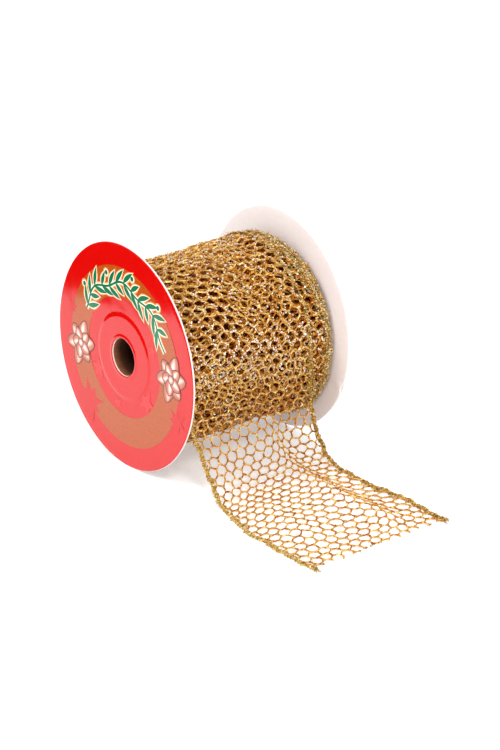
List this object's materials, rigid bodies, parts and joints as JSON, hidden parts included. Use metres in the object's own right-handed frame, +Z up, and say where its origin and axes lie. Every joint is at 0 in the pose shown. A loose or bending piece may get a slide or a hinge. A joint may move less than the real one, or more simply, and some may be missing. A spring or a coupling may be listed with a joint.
{
  "type": "ribbon spool",
  "caption": "Cardboard ribbon spool wound with wide gold net ribbon, standing on its flange rims with the loose end lying on the floor.",
  "frame": {"origin": "middle of the spool on its own axis, halfway along the core tube", "axes": "+Y along the spool axis from the labelled front flange to the rear flange, +Z up, +X towards the loose end of the ribbon"},
  "size_m": [0.1414, 0.0672, 0.08],
  "materials": {
    "printed_label": "glossy printed paper",
    "board": "matt white-lined board",
    "tube": "matt kraft paper",
    "plain_label": "matt paper",
    "tape": "satin paper tape",
    "gold_net": "knitted metallic gold yarn",
    "gold_edge": "fuzzy metallic gold cord"
  },
  "bodies": {
    "hanging_ribbon": {"hanging_ribbon": "gold_net", "hanging_edge_front": "gold_edge", "hanging_edge_rear": "gold_edge"},
    "spool": {"front_label": "printed_label", "front_flange": "board", "core_tube": "tube", "rear_flange": "board", "rear_label": "plain_label", "starter_tape": "tape", "inner_turns": "gold_net", "outer_turn": "gold_net", "roll_edge_front": "gold_edge", "roll_edge_rear": "gold_edge"},
    "loose_end": {"ribbon_end": "gold_net", "end_edge_front": "gold_edge", "end_edge_rear": "gold_edge"}
  },
  "joints": [
    {"name": "spool_spin", "type": "hinge", "parent": "hanging_ribbon", "child": "spool", "pos_m": [0, 0, 0], "axis": [0, 1, 0], "continuous": true},
    {"name": "tail_lift", "type": "hinge", "parent": "hanging_ribbon", "child": "loose_end", "pos_m": [0.05271, 0, -0.0386], "axis": [0, -1, 0], "range_deg": [0, 85]}
  ]
}
